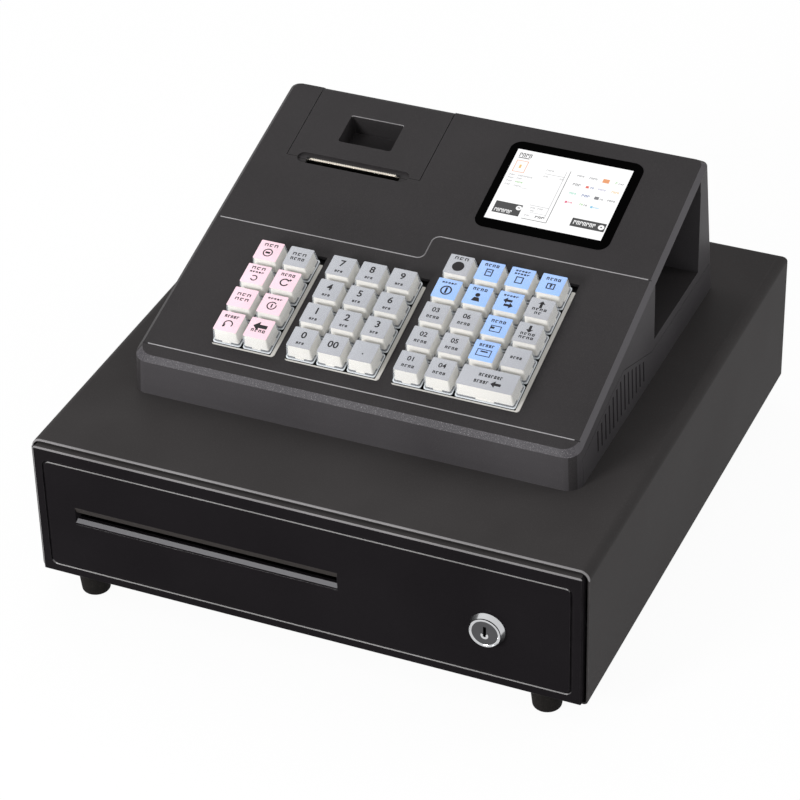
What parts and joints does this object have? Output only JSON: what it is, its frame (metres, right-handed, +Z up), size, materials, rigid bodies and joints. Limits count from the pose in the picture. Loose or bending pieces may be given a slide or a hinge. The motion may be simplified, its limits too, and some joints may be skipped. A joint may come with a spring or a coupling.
{
  "type": "ticket register",
  "caption": "Small cash register with a sloping key field, a colour display and a clamshell ticket printer, standing on its own steel cash drawer with a till insert and key lock.",
  "frame": {"origin": "middle of the footprint at floor level", "axes": "+X to the right, +Y towards the back, +Z up; the drawer opens towards -Y"},
  "size_m": [0.34, 0.355, 0.1975],
  "materials": {
    "powder_coat": "fine matt powder coat",
    "foot_rubber": "matt moulded rubber",
    "zinc_steel": "bright zinc plate",
    "latch_steel": "yellow zinc plate",
    "tray_steel": "satin paint",
    "fascia_coat": "smooth satin powder coat",
    "till_plastic": "matt moulded plastic",
    "lock_chrome": "polished",
    "plug_steel": "dull nickel",
    "case_plastic": "very fine moulded texture",
    "tray_plastic": "matt",
    "frame_plastic": "satin",
    "display_glass": "gloss black behind glass",
    "board": "solder mask",
    "ticket_paper": "smooth thermal paper",
    "tear_steel": "bright",
    "platen_rubber": "smooth",
    "key_grey": "clear cap over a grey legend",
    "key_pink": "clear cap over a pink legend",
    "key_blue": "clear cap over a blue legend"
  },
  "bodies": {
    "body": {"drawer_case": "powder_coat", "rubber_feet": "foot_rubber", "case_runners": "zinc_steel", "latch_solenoid": "latch_steel", "register_base": "case_plastic", "register_top_case": "case_plastic", "key_tray": "tray_plastic", "key_frames": "frame_plastic", "display_window": "display_glass", "main_board": "board", "printer_mechanism": "tray_plastic"},
    "drawer": {"drawer_box": "tray_steel", "drawer_fascia": "fascia_coat", "till_insert": "till_plastic", "lock_barrel": "lock_chrome"},
    "lock": {"lock_plug": "plug_steel"},
    "clips": {"bill_clips": "zinc_steel"},
    "cover": {"printer_cover": "case_plastic", "tear_bar": "tear_steel"},
    "platen": {"platen_roller": "platen_rubber"},
    "roll": {"paper_roll": "ticket_paper"},
    "key_left_1_1": {"key_left_1_1": "key_pink"},
    "key_left_1_2": {"key_left_1_2": "key_grey"},
    "key_left_2_1": {"key_left_2_1": "key_pink"},
    "key_left_2_2": {"key_left_2_2": "key_pink"},
    "key_left_3_1": {"key_left_3_1": "key_pink"},
    "key_left_3_2": {"key_left_3_2": "key_pink"},
    "key_left_4_1": {"key_left_4_1": "key_pink"},
    "key_left_4_2": {"key_left_4_2": "key_pink"},
    "key_digit_1_1": {"key_digit_1_1": "key_grey"},
    "key_digit_1_2": {"key_digit_1_2": "key_grey"},
    "key_digit_1_3": {"key_digit_1_3": "key_grey"},
    "key_digit_2_1": {"key_digit_2_1": "key_grey"},
    "key_digit_2_2": {"key_digit_2_2": "key_grey"},
    "key_digit_2_3": {"key_digit_2_3": "key_grey"},
    "key_digit_3_1": {"key_digit_3_1": "key_grey"},
    "key_digit_3_2": {"key_digit_3_2": "key_grey"},
    "key_digit_3_3": {"key_digit_3_3": "key_grey"},
    "key_digit_4_1": {"key_digit_4_1": "key_grey"},
    "key_digit_4_2": {"key_digit_4_2": "key_grey"},
    "key_digit_4_3": {"key_digit_4_3": "key_grey"},
    "key_right_1_1": {"key_right_1_1": "key_grey"},
    "key_right_1_2": {"key_right_1_2": "key_blue"},
    "key_right_1_3": {"key_right_1_3": "key_blue"},
    "key_right_1_4": {"key_right_1_4": "key_blue"},
    "key_right_2_1": {"key_right_2_1": "key_blue"},
    "key_right_2_2": {"key_right_2_2": "key_blue"},
    "key_right_2_3": {"key_right_2_3": "key_blue"},
    "key_right_2_4": {"key_right_2_4": "key_grey"},
    "key_right_3_1": {"key_right_3_1": "key_grey"},
    "key_right_3_2": {"key_right_3_2": "key_grey"},
    "key_right_3_3": {"key_right_3_3": "key_blue"},
    "key_right_3_4": {"key_right_3_4": "key_grey"},
    "key_right_4_1": {"key_right_4_1": "key_grey"},
    "key_right_4_2": {"key_right_4_2": "key_grey"},
    "key_right_4_3": {"key_right_4_3": "key_blue"},
    "key_right_4_4": {"key_right_4_4": "key_grey"},
    "key_right_5_1": {"key_right_5_1": "key_grey"},
    "key_right_5_2": {"key_right_5_2": "key_grey"},
    "key_enter": {"key_enter": "key_grey"}
  },
  "joints": [
    {"name": "drawer_slide", "type": "slide", "parent": "body", "child": "drawer", "axis": [0, -1, 0], "range_m": [0, 0.25]},
    {"name": "lock_turn", "type": "hinge", "parent": "drawer", "child": "lock", "pos_m": [0.1123, -0.1725, 0.0557], "axis": [0, 1, 0], "range_deg": [0, 90]},
    {"name": "clips_lift", "type": "hinge", "parent": "drawer", "child": "clips", "pos_m": [0, 0.04931, 0.0722], "axis": [-1, 0, 0], "range_deg": [0, 45], "stiffness_Nm_per_rad": 0.05, "springref_deg": -28.65},
    {"name": "cover_hinge", "type": "hinge", "parent": "body", "child": "cover", "pos_m": [-0.06975, 0.11781, 0.19303], "axis": [-1, 0, 0], "range_deg": [0, 95]},
    {"name": "platen_spin", "type": "hinge", "parent": "cover", "child": "platen", "pos_m": [-0.06975, 0.07196, 0.17319], "axis": [1, 0, 0], "continuous": true},
    {"name": "roll_spin", "type": "hinge", "parent": "body", "child": "roll", "pos_m": [-0.06975, 0.091, 0.1405], "axis": [1, 0, 0], "continuous": true},
    {"name": "press_left_1_1", "type": "slide", "parent": "body", "child": "key_left_1_1", "axis": [0, 0.284, -0.9588], "range_m": [0, 0.003], "stiffness_N_per_m": 200, "springref_m": -0.001},
    {"name": "press_left_1_2", "type": "slide", "parent": "body", "child": "key_left_1_2", "axis": [0, 0.284, -0.9588], "range_m": [0, 0.003], "stiffness_N_per_m": 200, "springref_m": -0.001},
    {"name": "press_left_2_1", "type": "slide", "parent": "body", "child": "key_left_2_1", "axis": [0, 0.284, -0.9588], "range_m": [0, 0.003], "stiffness_N_per_m": 200, "springref_m": -0.001},
    {"name": "press_left_2_2", "type": "slide", "parent": "body", "child": "key_left_2_2", "axis": [0, 0.284, -0.9588], "range_m": [0, 0.003], "stiffness_N_per_m": 200, "springref_m": -0.001},
    {"name": "press_left_3_1", "type": "slide", "parent": "body", "child": "key_left_3_1", "axis": [0, 0.284, -0.9588], "range_m": [0, 0.003], "stiffness_N_per_m": 200, "springref_m": -0.001},
    {"name": "press_left_3_2", "type": "slide", "parent": "body", "child": "key_left_3_2", "axis": [0, 0.284, -0.9588], "range_m": [0, 0.003], "stiffness_N_per_m": 200, "springref_m": -0.001},
    {"name": "press_left_4_1", "type": "slide", "parent": "body", "child": "key_left_4_1", "axis": [0, 0.284, -0.9588], "range_m": [0, 0.003], "stiffness_N_per_m": 200, "springref_m": -0.001},
    {"name": "press_left_4_2", "type": "slide", "parent": "body", "child": "key_left_4_2", "axis": [0, 0.284, -0.9588], "range_m": [0, 0.003], "stiffness_N_per_m": 200, "springref_m": -0.001},
    {"name": "press_digit_1_1", "type": "slide", "parent": "body", "child": "key_digit_1_1", "axis": [0, 0.284, -0.9588], "range_m": [0, 0.003], "stiffness_N_per_m": 200, "springref_m": -0.001},
    {"name": "press_digit_1_2", "type": "slide", "parent": "body", "child": "key_digit_1_2", "axis": [0, 0.284, -0.9588], "range_m": [0, 0.003], "stiffness_N_per_m": 200, "springref_m": -0.001},
    {"name": "press_digit_1_3", "type": "slide", "parent": "body", "child": "key_digit_1_3", "axis": [0, 0.284, -0.9588], "range_m": [0, 0.003], "stiffness_N_per_m": 200, "springref_m": -0.001},
    {"name": "press_digit_2_1", "type": "slide", "parent": "body", "child": "key_digit_2_1", "axis": [0, 0.284, -0.9588], "range_m": [0, 0.003], "stiffness_N_per_m": 200, "springref_m": -0.001},
    {"name": "press_digit_2_2", "type": "slide", "parent": "body", "child": "key_digit_2_2", "axis": [0, 0.284, -0.9588], "range_m": [0, 0.003], "stiffness_N_per_m": 200, "springref_m": -0.001},
    {"name": "press_digit_2_3", "type": "slide", "parent": "body", "child": "key_digit_2_3", "axis": [0, 0.284, -0.9588], "range_m": [0, 0.003], "stiffness_N_per_m": 200, "springref_m": -0.001},
    {"name": "press_digit_3_1", "type": "slide", "parent": "body", "child": "key_digit_3_1", "axis": [0, 0.284, -0.9588], "range_m": [0, 0.003], "stiffness_N_per_m": 200, "springref_m": -0.001},
    {"name": "press_digit_3_2", "type": "slide", "parent": "body", "child": "key_digit_3_2", "axis": [0, 0.284, -0.9588], "range_m": [0, 0.003], "stiffness_N_per_m": 200, "springref_m": -0.001},
    {"name": "press_digit_3_3", "type": "slide", "parent": "body", "child": "key_digit_3_3", "axis": [0, 0.284, -0.9588], "range_m": [0, 0.003], "stiffness_N_per_m": 200, "springref_m": -0.001},
    {"name": "press_digit_4_1", "type": "slide", "parent": "body", "child": "key_digit_4_1", "axis": [0, 0.284, -0.9588], "range_m": [0, 0.003], "stiffness_N_per_m": 200, "springref_m": -0.001},
    {"name": "press_digit_4_2", "type": "slide", "parent": "body", "child": "key_digit_4_2", "axis": [0, 0.284, -0.9588], "range_m": [0, 0.003], "stiffness_N_per_m": 200, "springref_m": -0.001},
    {"name": "press_digit_4_3", "type": "slide", "parent": "body", "child": "key_digit_4_3", "axis": [0, 0.284, -0.9588], "range_m": [0, 0.003], "stiffness_N_per_m": 200, "springref_m": -0.001},
    {"name": "press_right_1_1", "type": "slide", "parent": "body", "child": "key_right_1_1", "axis": [0, 0.284, -0.9588], "range_m": [0, 0.003], "stiffness_N_per_m": 200, "springref_m": -0.001},
    {"name": "press_right_1_2", "type": "slide", "parent": "body", "child": "key_right_1_2", "axis": [0, 0.284, -0.9588], "range_m": [0, 0.003], "stiffness_N_per_m": 200, "springref_m": -0.001},
    {"name": "press_right_1_3", "type": "slide", "parent": "body", "child": "key_right_1_3", "axis": [0, 0.284, -0.9588], "range_m": [0, 0.003], "stiffness_N_per_m": 200, "springref_m": -0.001},
    {"name": "press_right_1_4", "type": "slide", "parent": "body", "child": "key_right_1_4", "axis": [0, 0.284, -0.9588], "range_m": [0, 0.003], "stiffness_N_per_m": 200, "springref_m": -0.001},
    {"name": "press_right_2_1", "type": "slide", "parent": "body", "child": "key_right_2_1", "axis": [0, 0.284, -0.9588], "range_m": [0, 0.003], "stiffness_N_per_m": 200, "springref_m": -0.001},
    {"name": "press_right_2_2", "type": "slide", "parent": "body", "child": "key_right_2_2", "axis": [0, 0.284, -0.9588], "range_m": [0, 0.003], "stiffness_N_per_m": 200, "springref_m": -0.001},
    {"name": "press_right_2_3", "type": "slide", "parent": "body", "child": "key_right_2_3", "axis": [0, 0.284, -0.9588], "range_m": [0, 0.003], "stiffness_N_per_m": 200, "springref_m": -0.001},
    {"name": "press_right_2_4", "type": "slide", "parent": "body", "child": "key_right_2_4", "axis": [0, 0.284, -0.9588], "range_m": [0, 0.003], "stiffness_N_per_m": 200, "springref_m": -0.001},
    {"name": "press_right_3_1", "type": "slide", "parent": "body", "child": "key_right_3_1", "axis": [0, 0.284, -0.9588], "range_m": [0, 0.003], "stiffness_N_per_m": 200, "springref_m": -0.001},
    {"name": "press_right_3_2", "type": "slide", "parent": "body", "child": "key_right_3_2", "axis": [0, 0.284, -0.9588], "range_m": [0, 0.003], "stiffness_N_per_m": 200, "springref_m": -0.001},
    {"name": "press_right_3_3", "type": "slide", "parent": "body", "child": "key_right_3_3", "axis": [0, 0.284, -0.9588], "range_m": [0, 0.003], "stiffness_N_per_m": 200, "springref_m": -0.001},
    {"name": "press_right_3_4", "type": "slide", "parent": "body", "child": "key_right_3_4", "axis": [0, 0.284, -0.9588], "range_m": [0, 0.003], "stiffness_N_per_m": 200, "springref_m": -0.001},
    {"name": "press_right_4_1", "type": "slide", "parent": "body", "child": "key_right_4_1", "axis": [0, 0.284, -0.9588], "range_m": [0, 0.003], "stiffness_N_per_m": 200, "springref_m": -0.001},
    {"name": "press_right_4_2", "type": "slide", "parent": "body", "child": "key_right_4_2", "axis": [0, 0.284, -0.9588], "range_m": [0, 0.003], "stiffness_N_per_m": 200, "springref_m": -0.001},
    {"name": "press_right_4_3", "type": "slide", "parent": "body", "child": "key_right_4_3", "axis": [0, 0.284, -0.9588], "range_m": [0, 0.003], "stiffness_N_per_m": 200, "springref_m": -0.001},
    {"name": "press_right_4_4", "type": "slide", "parent": "body", "child": "key_right_4_4", "axis": [0, 0.284, -0.9588], "range_m": [0, 0.003], "stiffness_N_per_m": 200, "springref_m": -0.001},
    {"name": "press_right_5_1", "type": "slide", "parent": "body", "child": "key_right_5_1", "axis": [0, 0.284, -0.9588], "range_m": [0, 0.003], "stiffness_N_per_m": 200, "springref_m": -0.001},
    {"name": "press_right_5_2", "type": "slide", "parent": "body", "child": "key_right_5_2", "axis": [0, 0.284, -0.9588], "range_m": [0, 0.003], "stiffness_N_per_m": 200, "springref_m": -0.001},
    {"name": "press_enter", "type": "slide", "parent": "body", "child": "key_enter", "axis": [0, 0.284, -0.9588], "range_m": [0, 0.003], "stiffness_N_per_m": 200, "springref_m": -0.001}
  ]
}
